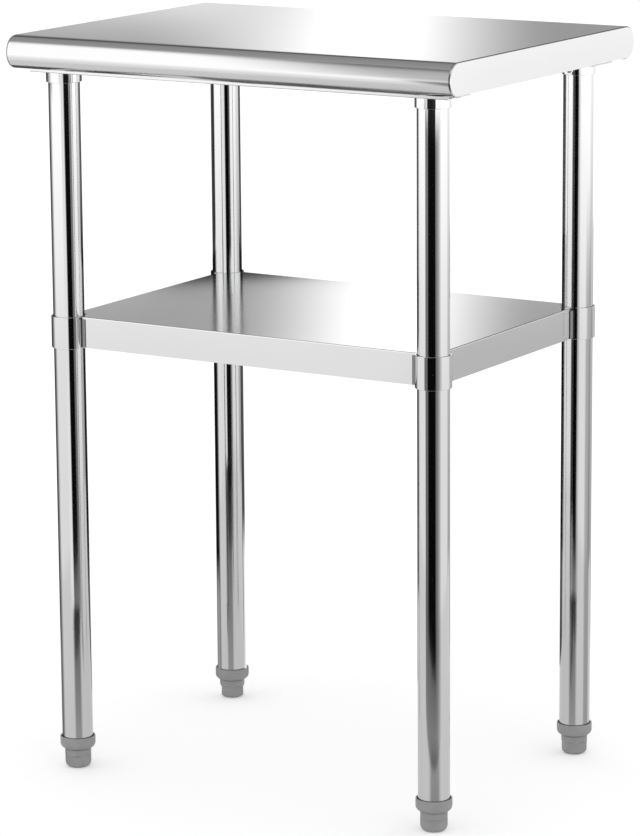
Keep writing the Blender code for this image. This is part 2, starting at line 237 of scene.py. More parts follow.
def arc(center_a, center_b, radius, start, end, steps):
    """Points of an arc in a plane, from one angle to another, in degrees."""
    points = []
    for step in range(steps + 1):
        angle = radians(start + (end - start) * step / steps)
        points.append((center_a + radius * cos(angle), center_b + radius * sin(angle)))
    return points


def hexagon(across, turn=0):
    """The corners of a hexagon round the origin, from its width across flats."""
    return arc(0, 0, across / sqrt(3), turn, turn + 300, 5)


def rounded_path(corners, radius):
    """An open path whose inner corners are replaced by arcs of one radius."""
    path = [corners[0]]
    for before, corner, after in zip(corners, corners[1:], corners[2:]):
        corner = Vector(corner)
        back = (Vector(before) - corner).normalized()
        ahead = (Vector(after) - corner).normalized()
        half_angle = back.angle(ahead) / 2
        center = corner + (back + ahead).normalized() * (radius / sin(half_angle))
        reach = radius / tan(half_angle)
        first = corner + back * reach - center
        last = corner + ahead * reach - center
        start = degrees(atan2(first.y, first.x))
        turn = remainder(degrees(atan2(last.y, last.x)) - start, 360)
        path += arc(center.x, center.y, radius, start, start + turn, FOLD_STEPS)
    path.append(corners[-1])
    return path


def lathe(name, profile, steps, closed=False):
    """Turn (radius, height) points about Z. An open profile starts and ends on the axis."""
    bm = bmesh.new()
    rings = []
    for radius, height in profile:
        if radius == 0:
            rings.append([bm.verts.new((0, 0, height))] * steps)
            continue
        turns = [2 * pi * step / steps for step in range(steps)]
        rings.append([bm.verts.new((radius * cos(a), radius * sin(a), height)) for a in turns])
    pairs = list(zip(rings, rings[1:]))
    if closed:
        pairs.append((rings[-1], rings[0]))
    for lower, upper in pairs:
        for step in range(steps):
            after = (step + 1) % steps
            corners = [lower[step], lower[after], upper[after], upper[step]]
            distinct = list(dict.fromkeys(corners))
            bm.faces.new(distinct)
    return solid_mesh(name, bm)


def stacked(name, rings):
    """A solid through rings of points that lie one above another."""
    bm = bmesh.new()
    rings = [[bm.verts.new(point) for point in ring] for ring in rings]
    for lower, upper in zip(rings, rings[1:]):
        for step in range(len(lower)):
            after = (step + 1) % len(lower)
            bm.faces.new((lower[step], lower[after], upper[after], upper[step]))
    bm.faces.new(rings[0])
    bm.faces.new(rings[-1])
    return solid_mesh(name, bm)


def cylinder(name, radius, start, end, steps=SMALL_STEPS):
    """A closed cylinder along Z."""
    return lathe(name, [(0, start), (radius, start), (radius, end), (0, end)], steps)


def prism(name, outline, bottom, top):
    """A flat outline raised between two heights."""
    return stacked(name, [[(x, y, height) for x, y in outline] for height in (bottom, top)])


def swept_sheet(name, sections, capped=False):
    """An open sheet through (x, path) sections, each path a list of (y, z) points."""
    bm = bmesh.new()
    rows = [[bm.verts.new((x, y, z)) for y, z in path] for x, path in sections]
    for row, after in zip(rows, rows[1:]):
        for index in range(len(row) - 1):
            bm.faces.new((row[index], after[index], after[index + 1], row[index + 1]))
    if capped:
        bm.faces.new(rows[0])
        bm.faces.new(list(reversed(rows[-1])))
    return mesh_of(name, bm)


def baked(thing):
    """Apply a piece's modifiers, and mark its sharp edges again."""
    bpy.context.view_layer.update()
    evaluated = thing.evaluated_get(bpy.context.evaluated_depsgraph_get())
    bm = bmesh.new()
    bm.from_mesh(bpy.data.meshes.new_from_object(evaluated))
    thing.modifiers.clear()
    thing.data = solid_mesh(thing.name, bm)
    return thing


def thickened(sheet, thickness):
    """Give an open sheet its thickness, on its inner side."""
    solidify = sheet.modifiers.new("sheet", "SOLIDIFY")
    solidify.thickness = thickness
    solidify.offset = -1
    solidify.use_even_offset = True
    return baked(sheet)


def carved(thing, mesh, operation, matrix=None):
    """Join a shape to a piece, cut it out, or keep only what both hold."""
    cutter = new_object("cutter", mesh)
    if matrix:
        cutter.matrix_world = matrix
    boolean = thing.modifiers.new("boolean", "BOOLEAN")
    boolean.operation = operation
    boolean.object = cutter
    baked(thing)
    bpy.data.objects.remove(cutter)


def shaded(thing):
    """Smooth a piece's curves so that its flat and straight faces still shine true."""
    weighted = thing.modifiers.new("shading", "WEIGHTED_NORMAL")
    weighted.mode = "FACE_AREA"
    weighted.weight = FLAT_WEIGHT
    weighted.keep_sharp = True
    bpy.context.view_layer.update()
    graph = bpy.context.evaluated_depsgraph_get()
    mesh = bpy.data.meshes.new_from_object(
        thing.evaluated_get(graph), preserve_all_data_layers=True, depsgraph=graph
    )
    thing.modifiers.clear()
    thing.data = mesh


def finish_piece(thing, body, slot, material, *nodes):
    """Give a piece its finish, its body and the CAD nodes that it stands for."""
    shaded(thing)
    thing.data.materials.clear()
    thing.data.materials.append(material)
    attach(thing, body)
    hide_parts(*nodes)


def axis_of(node):
    """Where the middle of a node is in plan."""
    low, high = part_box(node)
    return (low.x + high.x) / 2, (low.y + high.y) / 2


def radius_of(node):
    """The outer radius of a round node."""
    low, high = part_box(node)
    return (high.x - low.x) / 2


# ---------------------------------------------------------------- materials

def new_material(name):
    """A material with nodes, with its list of nodes and its list of links."""
    material = bpy.data.materials.new(name)
    material.use_nodes = True
    return material, material.node_tree.nodes, material.node_tree.links


def grain(nodes, links, stretch, detail):
    """Noise stretched along the polishing lines, from the piece's own coordinates."""
    place = nodes.new("ShaderNodeTexCoord")
    mapping = nodes.new("ShaderNodeMapping")
    mapping.inputs["Scale"].default_value = stretch
    noise = nodes.new("ShaderNodeTexNoise")
    noise.inputs["Scale"].default_value = 1
    noise.inputs["Detail"].default_value = detail
    links.new(place.outputs["Object"], mapping.inputs["Vector"])
    links.new(mapping.outputs["Vector"], noise.inputs["Vector"])
    return noise.outputs["Fac"]


def ranged(nodes, links, source, low, high):
    """Map a value from 0..1 to a range."""
    convert = nodes.new("ShaderNodeMapRange")
    convert.inputs["To Min"].default_value = low
    convert.inputs["To Max"].default_value = high
    links.new(source, convert.inputs["Value"])
    return convert.outputs["Result"]


def uneven_tone(nodes, links, factor, tone, unevenness):
    """A tone that wanders a little to both sides."""
    dark = [channel * (1 - unevenness) for channel in tone]
    light = [channel * (1 + unevenness) for channel in tone]
    mix = nodes.new("ShaderNodeMix")
    mix.data_type = "RGBA"
    mix.inputs["A"].default_value = (*dark, 1)
    mix.inputs["B"].default_value = (*light, 1)
    links.new(factor, mix.inputs["Factor"])
    return mix.outputs["Result"]


def bump(nodes, links, height, strength, depth):
    """Turn a height into a relief of the surface, of a depth in metres."""
    relief = nodes.new("ShaderNodeBump")
    relief.inputs["Strength"].default_value = strength
    relief.inputs["Distance"].default_value = depth
    links.new(height, relief.inputs["Height"])
    return relief.outputs["Normal"]


def steel(name, tone, roughness, lines, axis, anisotropy, turn=0.0):
    """Stainless steel with polishing lines.

    Lines give the grain's scale along X, Y and Z. The tangent runs round an axis.
    """
    material, nodes, links = new_material(name)
    shader = nodes["Principled BSDF"]
    shader.inputs["Metallic"].default_value = 1
    shader.inputs["Anisotropic"].default_value = anisotropy
    shader.inputs["Anisotropic Rotation"].default_value = turn
    tangent = nodes.new("ShaderNodeTangent")
    tangent.direction_type = "RADIAL"
    tangent.axis = axis
    links.new(tangent.outputs["Tangent"], shader.inputs["Tangent"])
    fine = grain(nodes, links, lines, 2)
    clouds = grain(nodes, links, STEEL_CLOUDS, 3)
    color = uneven_tone(nodes, links, clouds, tone, STEEL_UNEVENNESS)
    normal = bump(nodes, links, fine, LINE_STRENGTH, LINE_DEPTH)
    links.new(color, shader.inputs["Base Color"])
    links.new(ranged(nodes, links, fine, *roughness), shader.inputs["Roughness"])
    links.new(normal, shader.inputs["Normal"])
    return material


def moulded_plastic(name, tone):
    """Matte plastic with a fine moulded grain and a slightly uneven tone."""
    material, nodes, links = new_material(name)
    shader = nodes["Principled BSDF"]
    fine = grain(nodes, links, PLASTIC_GRAIN, 2)
    clouds = grain(nodes, links, PLASTIC_CLOUDS, 3)
    color = uneven_tone(nodes, links, clouds, tone, PLASTIC_UNEVENNESS)
    normal = bump(nodes, links, fine, GRAIN_STRENGTH, GRAIN_DEPTH)
    links.new(color, shader.inputs["Base Color"])
    links.new(ranged(nodes, links, fine, *PLASTIC_ROUGHNESS), shader.inputs["Roughness"])
    links.new(normal, shader.inputs["Normal"])
    return material


sheet_steel = steel("sheet_steel", STEEL_TONE, (0.12, 0.17), (25, 900, 900), "X", 0.6)
tube_steel = steel("tube_steel", STEEL_TONE, (0.07, 0.11), (60, 60, 1600), "Z", 0.6, turn=0.25)
rail_steel = steel("rail_steel", STEEL_TONE, (0.24, 0.30), (25, 900, 900), "X", 0.5)
screw_steel = steel("screw_steel", SCREW_TONE, (0.28, 0.40), (500, 500, 500), "Z", 0)
# Dull weld finish for the collars' ears, made darker as painted shade where rings meet flanges
weld_and_shade_steel = steel("weld_and_shade_steel", WELD_AND_SHADE_TONE, (0.34, 0.44), (400, 400, 400), "Z", 0)
foot_plastic = moulded_plastic("foot_plastic", PLASTIC_TONE)


# ---------------------------------------------------------------- worktop and rails

def worktop_path(half_depth, top, inset, dip):
    """The sheet's outer line: lip, front roll, flat top, rear roll, lip.

    The flat top starts to fall a little before each roll. The inset moves the whole line
    inwards, and the dip only the rolls.
    """
    drop = EDGE_EASE**2 / (2 * (EASE_RADIUS - EDGE_HEIGHT / 2))
    radius = (EDGE_HEIGHT - drop) / 2
    roll_y = half_depth - radius
    roll_z = top - EDGE_HEIGHT + radius
    ease_y = roll_y - EDGE_EASE
    ease_z = top - EASE_RADIUS
    tilt = degrees(atan2(EDGE_EASE, roll_z - ease_z))
    turned = radius - inset - dip
    eased = EASE_RADIUS - inset
    lip_y = rail_face() + GAP
    bottom = roll_z - turned
    return [
        (-lip_y, bottom),
        *arc(-roll_y, roll_z, turned, 270, 90 + tilt, ROLL_STEPS),
        *arc(-ease_y, ease_z, eased, 90 + tilt, 90, EASE_STEPS),
        *arc(ease_y, ease_z, eased, 90, 90 - tilt, EASE_STEPS),
        *arc(roll_y, roll_z, turned, 90 - tilt, -90, ROLL_STEPS),
        (lip_y, bottom),
    ]


def rail_face():
    """How far the rails' outer faces stand from the middle."""
    low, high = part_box("rear_rail")
    return high.y


def add_worktop():
    """One sheet with rolled edges, folded down at its ends, with a seam round each roll."""
    low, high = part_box("top_sheet")
    fold_start = high.x - FOLD
    fold = []
    for step in range(FOLD_STEPS + 1):
        angle = radians(90 * step / FOLD_STEPS)
        fold.append((fold_start + FOLD * sin(angle), FOLD - FOLD * cos(angle), 0))
    seam_start = fold_start - SEAM_WIDTH
    groove = [
        (seam_start - SEAM_INNER_WALL, 0, 0),
        (seam_start, 0, SEAM_DEPTH),
        (fold_start - SEAM_OUTER_WALL, 0, SEAM_DEPTH),
    ]
    right = groove + fold
    left = [(-x, inset, dip) for x, inset, dip in reversed(right)]
    paths = [(x, worktop_path(high.y, high.z, inset, dip)) for x, inset, dip in left + right]
    mesh = swept_sheet("worktop", paths, capped=True)
    top = thickened(new_object("worktop", mesh), SHEET)
    finish_piece(top, "frame", "polished_steel", sheet_steel, "top_sheet")


def channel(name, corners, half_length, thickness):
    """A folded sheet along X, through the corners of its section."""
    path = rounded_path(corners, CHANNEL_FOLD)
    mesh = swept_sheet(name, [(-half_length, path), (half_length, path)])
    return thickened(new_object(name, mesh), thickness)


def add_rail(name, y_side):
    """A channel under a rolled edge, with a hole for each socket."""
    low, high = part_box(name)
    outer, inner = (low.y, high.y) if y_side < 0 else (high.y, low.y)
    corners = [(inner, high.z), (outer, high.z), (outer, low.z), (inner, low.z)]
    if y_side < 0:
        corners.reverse()
    rail = channel(name + "_channel", corners, high.x, RAIL_SHEET)
    for corner, sides in CORNERS.items():
        if sides[1] != y_side:
            continue
        x, y = axis_of(f"leg_{corner}")
        radius = radius_of(f"leg_socket_{corner}") + GAP
        hole = cylinder("socket_hole", radius, -CUT_REACH, CUT_REACH, ROUND_STEPS)
        carved(rail, hole, "DIFFERENCE", Matrix.Translation((x, y, low.z)))
    finish_piece(rail, "frame", "satin_steel", rail_steel, name)


# ---------------------------------------------------------------- legs, sockets, screws

def rounded_ring(name, inner, outer, bottom, top):
    """A ring round Z between two heights, with its rims rounded."""
    profile = [
        *arc(outer - RIM, top - RIM, RIM, 90, 0, RIM_STEPS),
        *arc(outer - RIM, bottom + RIM, RIM, 0, -90, RIM_STEPS),
        *arc(inner + RIM, bottom + RIM, RIM, -90, -180, RIM_STEPS),
        *arc(inner + RIM, top - RIM, RIM, 180, 90, RIM_STEPS),
    ]
    return lathe(name, profile, ROUND_STEPS, closed=True)


def inward(x_side, y_side, angle):
    """A level direction from a leg towards the table's middle, its angle from X."""
    return Vector((-x_side * cos(radians(angle)), -y_side * sin(radians(angle)), 0))


def along(direction, point):
    """A matrix that puts a shape's Z axis along a direction, at a point."""
    return Matrix.Translation(point) @ direction.to_track_quat("Z", "Y").to_matrix().to_4x4()


def add_boss(piece, center, outer, inner, direction):
    """A boss on a ring's side, with its screw's hole through the wall."""
    matrix = along(direction, center)
    root = (inner + sqrt(outer**2 - BOSS_RADIUS**2)) / 2
    boss = cylinder("boss", BOSS_RADIUS, root, outer + BOSS_LENGTH)
    carved(piece, boss, "UNION", matrix)
    hole = cylinder("hole", BOSS_HOLE, inner - CUT_REACH, outer + BOSS_LENGTH + CUT_REACH)
    carved(piece, hole, "DIFFERENCE", matrix)


def screw_mesh():
    """A grub screw along Z, its tip at the origin, with a key socket in its outer end."""
    end = SCREW_LENGTH
    profile = [
        (0, 0),
        (SCREW_RADIUS - SCREW_TIP, 0),
        (SCREW_RADIUS, SCREW_TIP),
        (SCREW_RADIUS, end - RIM),
        (SCREW_RADIUS - RIM, end),
        (0, end),
    ]
    screw = new_object("screw", lathe("screw", profile, SMALL_STEPS))
    key = prism("key", hexagon(KEY_ACROSS), end - KEY_DEPTH, end + CUT_REACH)
    carved(screw, key, "DIFFERENCE")
    mesh = screw.data
    bpy.data.objects.remove(screw)
    return mesh


def add_screw(name, node, body, center, direction, start):
    """A grub screw that points at a centre, its tip a little way from it."""
    mesh = grub_screw.copy()
    mesh.transform(along(direction, center + direction * start))
    screw = new_object(name, mesh)
    finish_piece(screw, body, "dark_steel", screw_steel, node)


def add_leg(corner, x_side, y_side):
    """A polished tube, the socket over its upper end and the screw that locks them."""
    node = f"leg_{corner}"
    x, y = axis_of(node)
    place = Matrix.Translation((x, y, 0))
    low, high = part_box(node)
    radius = radius_of(node)
    mesh = rounded_ring("tube", radius - TUBE_WALL, radius, low.z, high.z)
    mesh.transform(place)
    tube = new_object(f"leg_tube_{corner}", mesh)
    finish_piece(tube, "frame", "polished_steel", tube_steel, node)

    node = f"leg_socket_{corner}"
    low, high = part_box(node)
    outer = radius_of(node)
    inner = radius + SOCKET_FIT
    mesh = rounded_ring("socket", inner, outer, low.z, high.z)
    mesh.transform(place)
    socket = new_object(f"socket_{corner}", mesh)
    direction = inward(x_side, y_side, SOCKET_SCREW_ANGLE)
    center = Vector((x, y, low.z + BOSS_LIFT))
    add_boss(socket, center, outer, inner, direction)
    finish_piece(socket, "frame", "polished_steel", tube_steel, node)
    screw = f"socket_screw_{corner}"
    add_screw(f"grub_{screw}", screw, "frame", center, direction, radius + GAP)


# ---------------------------------------------------------------- undershelf

def add_shelf():
    """A pan with turned-down flanges, cut round the collars at its corners."""
    low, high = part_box("shelf_sheet")
    bm = bmesh.new()
    bmesh.ops.create_cube(bm, size=1)
    bmesh.ops.scale(bm, verts=bm.verts, vec=high - low)
    bmesh.ops.translate(bm, verts=bm.verts, vec=(low + high) / 2)
    open_side = [face for face in bm.faces if face.normal.z < -0.5]
    bmesh.ops.delete(bm, geom=open_side, context="FACES")
    pan = new_object("shelf_pan", mesh_of("shelf_pan", bm))
    bevel = pan.modifiers.new("folds", "BEVEL")
    bevel.width = SHELF_FOLD
    bevel.segments = FOLD_STEPS
    bevel.limit_method = "ANGLE"
    thickened(pan, SHEET)
    for corner in CORNERS:
        x, y = axis_of(f"leg_{corner}")
        radius = collar_radius(corner) + GAP
        notch = cylinder("notch", radius, low.z - CUT_REACH, high.z + CUT_REACH, ROUND_STEPS)
        carved(pan, notch, "DIFFERENCE", Matrix.Translation((x, y, 0)))
    finish_piece(pan, "undershelf", "polished_steel", sheet_steel, "shelf_sheet")


def collar_radius(corner):
    """The ring's outer radius, from the side of the box that has only the ring on it."""
    x_side, y_side = CORNERS[corner]
    x, y = axis_of(f"leg_{corner}")
    low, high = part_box(f"shelf_collar_{corner}")
    return high.x - x if x_side > 0 else x - low.x


def ear_outline(inner, outer, x_side, y_side, swap):
    """An ear beside the leg, on the outside of a flange, with a fillet into the ring."""
    wall_middle = (inner + outer) / 2
    back = EAR_FACE + EAR_SHEET
    end = outer + EAR_LENGTH
    fillet_y = back + EAR_FILLET
    fillet_x = sqrt((outer + EAR_FILLET) ** 2 - fillet_y**2)
    touch = degrees(atan2(-fillet_y, fillet_x))
    root = Vector((-fillet_x, fillet_y)).normalized() * wall_middle
    outline = [
        (-sqrt(wall_middle**2 - EAR_FACE**2), EAR_FACE),
        (-end, EAR_FACE),
        (-end, back),
        *arc(-fillet_x, fillet_y, EAR_FILLET, -90, touch, FOLD_STEPS),
        tuple(root),
    ]
    if swap:
        outline = [(b, a) for a, b in outline]
    return [(x_side * a, y_side * b) for a, b in outline]


def dull_and_shade_ears(mesh, center, outer, x_side, y_side):
    """Leave the ears and their fillets unpolished, as they come from welding, and darker still:
    painted shade where the ring meets the flanges.
    """
    mesh.materials.append(weld_and_shade_steel)
    for face in mesh.polygons:
        offset = face.center - center
        outside = offset.x * x_side > 0 or offset.y * y_side > 0
        if outside and offset.xy.length > outer + EAR_MARGIN:
            face.material_index = 1


def add_collar(corner, x_side, y_side):
    """A ring round the leg, with an ear on each flange and a screw that locks it."""
    node = f"shelf_collar_{corner}"
    x, y = axis_of(f"leg_{corner}")
    low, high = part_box(node)
    outer = collar_radius(corner)
    tube = radius_of(f"leg_{corner}")
    inner = tube + COLLAR_FIT
    mesh = rounded_ring("collar", inner, outer, low.z, high.z)
    collar = new_object(f"collar_{corner}", mesh)
    ear_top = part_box("shelf_sheet")[1].z - EAR_TOP_INSET
    ear_bottom = low.z + EAR_BOTTOM_INSET
    for swap in (False, True):
        outline = ear_outline(inner, outer, x_side, y_side, swap)
        carved(collar, prism("ear", outline, ear_bottom, ear_top), "UNION")
    collar.data.transform(Matrix.Translation((x, y, 0)))
    direction = inward(x_side, y_side, COLLAR_SCREW_ANGLE)
    center = Vector((x, y, (low.z + high.z) / 2))
    add_boss(collar, center, outer, inner, direction)
    finish_piece(collar, "undershelf", "polished_steel", tube_steel, node)
    dull_and_shade_ears(collar.data, Vector((x, y, 0)), outer, x_side, y_side)
    screw = f"shelf_screw_{corner}"
    add_screw(f"grub_{screw}", screw, "undershelf", center, direction, tube + GAP)


def add_stiffener():
    """A hat channel along the middle of the shelf's underside."""
    low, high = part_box("shelf_stiffener")
    crown = high.y - STIFFENER_BRIM
    corners = [
        (low.y, high.z),
        (-crown, high.z),
        (-crown, low.z),
        (crown, low.z),
        (crown, high.z),
        (high.y, high.z),
    ]
    hat = channel("shelf_hat_channel", corners, high.x, STIFFENER_SHEET)
    finish_piece(hat, "undershelf", "satin_steel", rail_steel, "shelf_stiffener")


# ---------------------------------------------------------------- feet

def thread_mesh(name, bottom, top):
    """A stud with a right-hand thread between two heights, closed by flat ends."""
    rows = int((top - bottom) / THREAD_PITCH * THREAD_RINGS)
    rings = []
    for row in range(rows + 1):
        height = bottom + (top - bottom) * row / rows
        circle = []
        for step in range(THREAD_STEPS):
            turn = step / THREAD_STEPS
            phase = (height / THREAD_PITCH - turn) % 1
            depth = THREAD_DEPTH * (1 - abs(2 * phase - 1)) ** THREAD_POWER
            fade = min(1, (top - height) / THREAD_PITCH)
            radius = THREAD_CREST - depth - THREAD_DEPTH * (1 - fade)
            angle = 2 * pi * turn
            circle.append((radius * cos(angle), radius * sin(angle), height))
        rings.append(circle)
    return stacked(name, rings)


def add_insert(corner):
    """The cup round the tube's end, and the plug inside the tube."""
    node = f"foot_insert_{corner}"
    x, y = axis_of(node)
    low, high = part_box(node)
    outer = radius_of(node)
    inner = outer - CUP_WALL
    floor = low.z + CUP_FLOOR
    rim = CUP_WALL / 2
    rim_z = CUP_RIM - rim
    plug = radius_of(f"leg_{corner}") - TUBE_WALL - PLUG_GAP
    profile = [
        (BORE_RADIUS, high.z),
        (plug - PLUG_CHAMFER, high.z),
        (plug, high.z - PLUG_CHAMFER),
        (plug, floor),
        (inner, floor),
        *arc((inner + outer) / 2, rim_z, rim, 180, 0, CUP_RIM_STEPS),
        *arc(outer - CUP_TAPER, low.z + CUP_TAPER, CUP_TAPER, 0, -90, CUP_STEPS),
        (BORE_RADIUS, low.z),
    ]
    mesh = lathe("cup", profile, ROUND_STEPS, closed=True)
    mesh.transform(Matrix.Translation((x, y, 0)))
    cup = new_object(f"foot_cup_{corner}", mesh)
    finish_piece(cup, "frame", "gray_plastic", foot_plastic, node)


def add_barrel(corner):
    """A round barrel with six flats at its foot, and the hole that holds the stud."""
    node = f"foot_barrel_{corner}"
    x, y = axis_of(node)
    low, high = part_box(node)
    outside = radius_of(node)
    edge = BARREL_TOP_ROUNDING
    foot = BARREL_ROUNDING
    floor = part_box(f"foot_stem_{corner}")[0].z - GAP
    profile = [
        (0, floor),
        (BORE_RADIUS, floor),
        (BORE_RADIUS, high.z),
        *arc(outside - edge, high.z - edge, edge, 90, 0, BARREL_TOP_STEPS),
        *arc(outside - foot, low.z + foot, foot, 0, -90, BARREL_STEPS),
        (0, low.z),
    ]
    mesh = lathe("barrel", profile, ROUND_STEPS)
    barrel = new_object(f"foot_base_{corner}", mesh)
    flared = HEX_ACROSS + 2 * HEX_FLARE
    levels = [
        (HEX_ACROSS, low.z - CUT_REACH),
        (HEX_ACROSS, HEX_HEIGHT),
        (flared, HEX_HEIGHT + HEX_FLARE),
        (flared, high.z + CUT_REACH),
    ]
    rings = [
        [(px, py, height) for px, py in hexagon(across, FOOT_TURNS[corner])]
        for across, height in levels
    ]
    carved(barrel, stacked("flats", rings), "INTERSECT")
    barrel.data.transform(Matrix.Translation((x, y, 0)))
    finish_piece(barrel, f"barrel_{corner}", "gray_plastic", foot_plastic, node)


def add_stem(corner):
    """The threaded stud between the cup and the barrel."""
    node = f"foot_stem_{corner}"
    x, y = axis_of(node)
    low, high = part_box(node)
    mesh = thread_mesh("stud", low.z, high.z)
    mesh.transform(Matrix.Translation((x, y, 0)))
    stud = new_object(f"foot_stud_{corner}", mesh)
    finish_piece(stud, f"stem_{corner}", "dark_steel", screw_steel, node)


add_worktop()
add_rail("front_rail", -1)
add_rail("rear_rail", 1)
grub_screw = screw_mesh()
add_shelf()
add_stiffener()
for corner_name, sides in CORNERS.items():
    add_leg(corner_name, *sides)
    add_collar(corner_name, *sides)
    add_insert(corner_name)
    add_barrel(corner_name)
    add_stem(corner_name)


# ---------------------------------------------------------------- studio

def card_material(name, levels, densities, fades):
    """Light or darkness that reflections show, fading towards the card's edges.

    Levels and densities run from the card's bottom to its top. The fades are shares of
    its width and height: left, right, bottom, top.
    """
    material, nodes, links = new_material(name)
    nodes.remove(nodes["Principled BSDF"])
    place = nodes.new("ShaderNodeTexCoord")
    split = nodes.new("ShaderNodeSeparateXYZ")
    links.new(place.outputs["UV"], split.inputs["Vector"])

    def ramp(axis, start, end, low, high, smooth):
        """A value that runs from low to high along the card's width or height."""
        convert = nodes.new("ShaderNodeMapRange")
        convert.interpolation_type = "SMOOTHSTEP" if smooth else "LINEAR"
        convert.inputs["From Min"].default_value = start
        convert.inputs["From Max"].default_value = end
        convert.inputs["To Min"].default_value = low
        convert.inputs["To Max"].default_value = high
        links.new(split.outputs[axis], convert.inputs["Value"])
        return convert.outputs["Result"]

    left, right, bottom, top = fades
    density = ramp("Y", 0, 1, *densities, smooth=False)
    for axis, start, end, low, high in (
        ("X", 0, left, 0, 1),
        ("X", 1 - right, 1, 1, 0),
        ("Y", 0, bottom, 0, 1),
        ("Y", 1 - top, 1, 1, 0),
    ):
        if start == end:
            continue
        product = nodes.new("ShaderNodeMath")
        product.operation = "MULTIPLY"
        links.new(density, product.inputs[0])
        links.new(ramp(axis, start, end, low, high, smooth=True), product.inputs[1])
        density = product.outputs["Value"]

    clear = nodes.new("ShaderNodeBsdfTransparent")
    glow = nodes.new("ShaderNodeEmission")
    glow.inputs["Color"].default_value = (1, 1, 1, 1)
    links.new(ramp("Y", 0, 1, *levels, smooth=False), glow.inputs["Strength"])
    mix = nodes.new("ShaderNodeMixShader")
    links.new(density, mix.inputs["Fac"])
    links.new(clear.outputs["BSDF"], mix.inputs[1])
    links.new(glow.outputs["Emission"], mix.inputs[2])
    links.new(mix.outputs["Shader"], nodes["Material Output"].inputs["Surface"])
    return material


def add_card(name, rows, levels, densities=FULL, fades=NO_FADES):
    """A studio card that only reflections show, between a lower and an upper row of points."""
    bm = bmesh.new()
    uv = bm.loops.layers.uv.new("UVMap")
    lower, upper = [[bm.verts.new(point) for point in row] for row in rows]
    last = len(lower) - 1
    for index in range(last):
        face = bm.faces.new((lower[index], lower[index + 1], upper[index + 1], upper[index]))
        spots = [(index, 0), (index + 1, 0), (index + 1, 1), (index, 1)]
        for loop, (step, height) in zip(face.loops, spots):
            loop[uv].uv = (step / last, height)
    mesh = mesh_of(name, bm)
    mesh.materials.append(card_material(name, levels, densities, fades))
    mesh.materials[0].cycles.emission_sampling = "NONE"
    card = new_object(name, mesh)
    card.visible_camera = False
    card.visible_diffuse = False
    card.visible_transmission = False
    card.visible_volume_scatter = False
    card.visible_shadow = False
    return card


def add_wall(name, start, end, heights, levels, densities=FULL, fades=NO_FADES, lean=0):
    """An upright card between two points of the plan. A lean moves its top along them."""
    start, end = Vector((*start, 0)), Vector((*end, 0))
    shift = (end - start).normalized() * lean
    lower = [point + Vector((0, 0, heights[0])) for point in (start, end)]
    upper = [point + shift + Vector((0, 0, heights[1])) for point in (start, end)]
    add_card(name, (lower, upper), levels, densities, fades)


def add_arc(name, radius, turn, heights, levels, densities=FULL, fades=NO_FADES):
    """An upright card round the table, from one angle of the plan to another."""
    points = arc(0, 0, radius, *turn, ARC_STEPS)
    rows = [[(x, y, height) for x, y in points] for height in heights]
    add_card(name, rows, levels, densities, fades)


def add_back_card(name, offset, left, right, heights, levels, fades):
    """A card behind the table, its distance set out from the middle of the back."""
    toward = Vector((cos(radians(BACK_ANGLE)), sin(radians(BACK_ANGLE))))
    side = Vector((toward.y, -toward.x))
    place = Vector(CAMERA_PLACE).xy + toward * (BACK_REACH + offset)
    add_wall(name, place + side * left, place + side * right, heights, levels, fades=fades)


def add_shade(name, corner, turn, radius, heights, densities, fades, level=0):
    """A strip of darkness or light round part of a leg, seen from the leg's side only."""
    x, y = axis_of(f"leg_{corner}")
    points = arc(x, y, radius, *turn, ARC_STEPS)
    rows = [[(px, py, height) for px, py in points] for height in heights]
    strip = add_card(name, rows, (level, level), densities, fades)
    tree = strip.data.materials[0].node_tree
    facing = tree.nodes.new("ShaderNodeNewGeometry")
    one_sided = tree.nodes.new("ShaderNodeMixShader")
    clear = tree.nodes.new("ShaderNodeBsdfTransparent")
    surface = tree.nodes["Material Output"].inputs["Surface"]
    tree.links.new(facing.outputs["Backfacing"], one_sided.inputs["Fac"])
    tree.links.new(clear.outputs["BSDF"], one_sided.inputs[1])
    tree.links.new(surface.links[0].from_socket, one_sided.inputs[2])
    tree.links.new(one_sided.outputs["Shader"], surface)


def add_close_shade(name, corner, turn, heights, density, fades, level):
    """A strip close round a tube, and close round its collar and socket where it passes them."""
    left, right, bottom, top = fades
    low, high = heights
    collar_low, collar_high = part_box(f"shelf_collar_{corner}")
    socket = f"leg_socket_{corner}"
    socket_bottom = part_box(socket)[0].z
    edges = (collar_low.z, collar_high.z, socket_bottom)
    cuts = [low, *(edge for edge in edges if low < edge < high), high]
    for index, (start, end) in enumerate(zip(cuts, cuts[1:])):
        radius = radius_of(f"leg_{corner}")
        if collar_low.z <= start and end <= collar_high.z:
            radius = collar_radius(corner)
        elif start >= socket_bottom:
            radius = radius_of(socket)
        share = (high - low) / (end - start)
        lower = min(bottom * share, 1) if start == low else 0
        upper = min(top * share, 1) if end == high else 0
        place = (f"{name}_{index}", corner, turn, radius * SHADE_FIT, (start, end))
        add_shade(*place, (density, density), (left, right, lower, upper), level)


